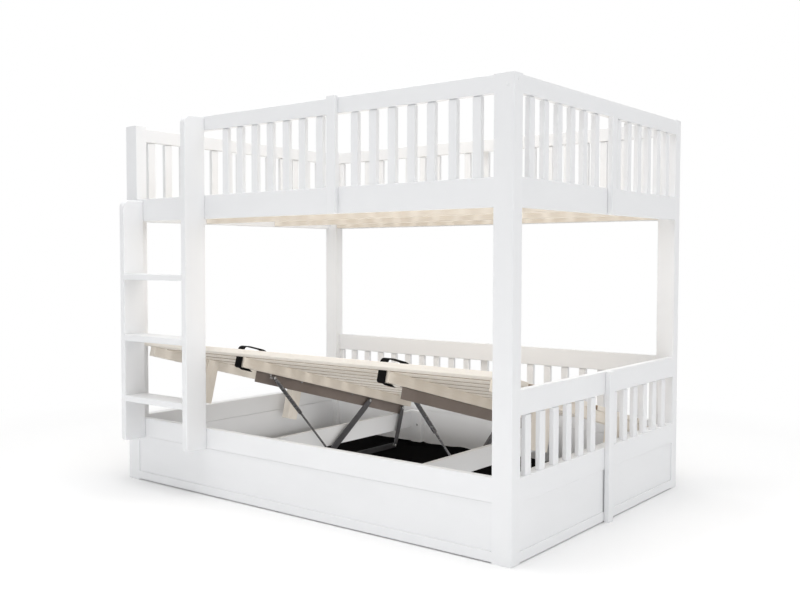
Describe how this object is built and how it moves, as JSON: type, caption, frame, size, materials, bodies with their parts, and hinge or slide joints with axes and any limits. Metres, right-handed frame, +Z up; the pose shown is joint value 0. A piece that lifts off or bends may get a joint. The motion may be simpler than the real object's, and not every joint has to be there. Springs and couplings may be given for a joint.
{
  "type": "bunk bed",
  "caption": "Low full size bunk bed in white wood with slatted guards, a straight ladder and a pine slat platform that lifts on steel arms and gas struts over a storage box.",
  "frame": {"origin": "centre of the bed's footprint box, on the floor", "axes": "+X along the bed towards the right end, +Y from the ladder side to the back, +Z up"},
  "size_m": [2.05, 1.547, 1.602],
  "materials": {
    "white_wood": "smooth white lacquer, satin",
    "pine": "bare planed pine",
    "steel": "taupe powder coat",
    "strut": "dark satin paint",
    "liner": "matt black lining felt",
    "webbing": "woven black webbing"
  },
  "bodies": {
    "frame": {"base_panel_back": "white_wood", "base_panel_front": "white_wood", "base_panel_left": "white_wood", "base_panel_right": "white_wood", "base_rail_back": "white_wood", "base_rail_front": "white_wood", "base_rail_left": "white_wood", "base_rail_right": "white_wood", "bottom_rail_back": "white_wood", "bottom_rail_front": "white_wood", "bottom_rail_left": "white_wood", "bottom_rail_right": "white_wood", "cross_rail_left": "white_wood", "cross_rail_right": "white_wood", "ladder_plank_left": "white_wood", "ladder_plank_right": "white_wood", "ladder_tread_1": "white_wood", "ladder_tread_2": "white_wood", "ladder_tread_3": "white_wood", "lower_angle_left": "steel", "lower_angle_right": "steel", "lower_guard_back": "white_wood", "lower_guard_right": "white_wood", "lower_mid_leg_back": "white_wood", "lower_mid_leg_right": "white_wood", "post_back_left": "white_wood", "post_back_right": "white_wood", "post_front_left": "white_wood", "post_front_right": "white_wood", "storage_floor": "pine", "storage_liner": "liner", "upper_guard_back": "white_wood", "upper_guard_front": "white_wood", "upper_guard_left": "white_wood", "upper_guard_right": "white_wood", "upper_mid_post_back": "white_wood", "upper_mid_post_front": "white_wood", "upper_mid_post_left": "white_wood", "upper_mid_post_right": "white_wood", "upper_rail_back": "white_wood", "upper_rail_front": "white_wood", "upper_rail_left": "white_wood", "upper_rail_right": "white_wood", "upper_slat_floor": "pine"},
    "platform": {"platform_end_beam_left": "pine", "platform_end_beam_right": "pine", "platform_front_slat": "pine", "platform_slats": "pine", "pull_strap_left": "webbing", "pull_strap_right": "webbing", "upper_angle_left": "steel", "upper_angle_right": "steel"},
    "rear_arm_left": {"rear_arm_left": "steel"},
    "rear_arm_right": {"rear_arm_right": "steel"},
    "front_arm_left": {"front_arm_left": "steel"},
    "front_arm_right": {"front_arm_right": "steel"},
    "strut_rod_left": {"strut_rod_left": "strut"},
    "strut_rod_right": {"strut_rod_right": "strut"},
    "strut_cylinder_left": {"strut_cylinder_left": "strut"},
    "strut_cylinder_right": {"strut_cylinder_right": "strut"}
  },
  "joints": [
    {"name": "platform_lift", "type": "hinge", "parent": "rear_arm_left", "child": "platform", "pos_m": [-0.3855, 0.5976, 0.2253], "axis": [1, 0, 0], "range_deg": [0, 36.82]},
    {"name": "rear_arm_left_swing", "type": "hinge", "parent": "frame", "child": "rear_arm_left", "pos_m": [-0.3855, 0.53473, 0.04], "axis": [-1, 0, 0], "range_deg": [0, 22.1]},
    {"name": "rear_arm_right_swing", "type": "hinge", "parent": "frame", "child": "rear_arm_right", "pos_m": [0.3855, 0.53473, 0.04], "axis": [-1, 0, 0], "range_deg": [0, 22.1]},
    {"name": "front_arm_left_swing", "type": "hinge", "parent": "frame", "child": "front_arm_left", "pos_m": [-0.3855, -0.03608, 0.04], "axis": [-1, 0, 0], "range_deg": [0, 15.8]},
    {"name": "front_arm_right_swing", "type": "hinge", "parent": "frame", "child": "front_arm_right", "pos_m": [0.3855, -0.03608, 0.04], "axis": [-1, 0, 0], "range_deg": [0, 15.8]},
    {"name": "strut_left_swing", "type": "hinge", "parent": "frame", "child": "strut_rod_left", "pos_m": [-0.3725, 0.0575, 0.04], "axis": [1, 0, 0], "range_deg": [0, 25.5]},
    {"name": "strut_left_stroke", "type": "slide", "parent": "strut_rod_left", "child": "strut_cylinder_left", "axis": [0, 0.6882, -0.7256], "range_m": [0, 0.193]},
    {"name": "strut_right_swing", "type": "hinge", "parent": "frame", "child": "strut_rod_right", "pos_m": [0.3725, 0.0575, 0.04], "axis": [1, 0, 0], "range_deg": [0, 25.5]},
    {"name": "strut_right_stroke", "type": "slide", "parent": "strut_rod_right", "child": "strut_cylinder_right", "axis": [0, 0.6882, -0.7256], "range_m": [0, 0.193]}
  ],
  "couplings": [
    {"joint": "rear_arm_left_swing", "follows": "platform_lift", "ratio": 0.59809},
    {"joint": "rear_arm_right_swing", "follows": "platform_lift", "ratio": 0.59809},
    {"joint": "front_arm_left_swing", "follows": "platform_lift", "ratio": 0.42563},
    {"joint": "front_arm_right_swing", "follows": "platform_lift", "ratio": 0.42563},
    {"joint": "strut_left_swing", "follows": "platform_lift", "ratio": 0.68871},
    {"joint": "strut_left_stroke", "follows": "platform_lift", "m_per_rad": 0.29961},
    {"joint": "strut_right_swing", "follows": "platform_lift", "ratio": 0.68871},
    {"joint": "strut_right_stroke", "follows": "platform_lift", "m_per_rad": 0.29961}
  ]
}
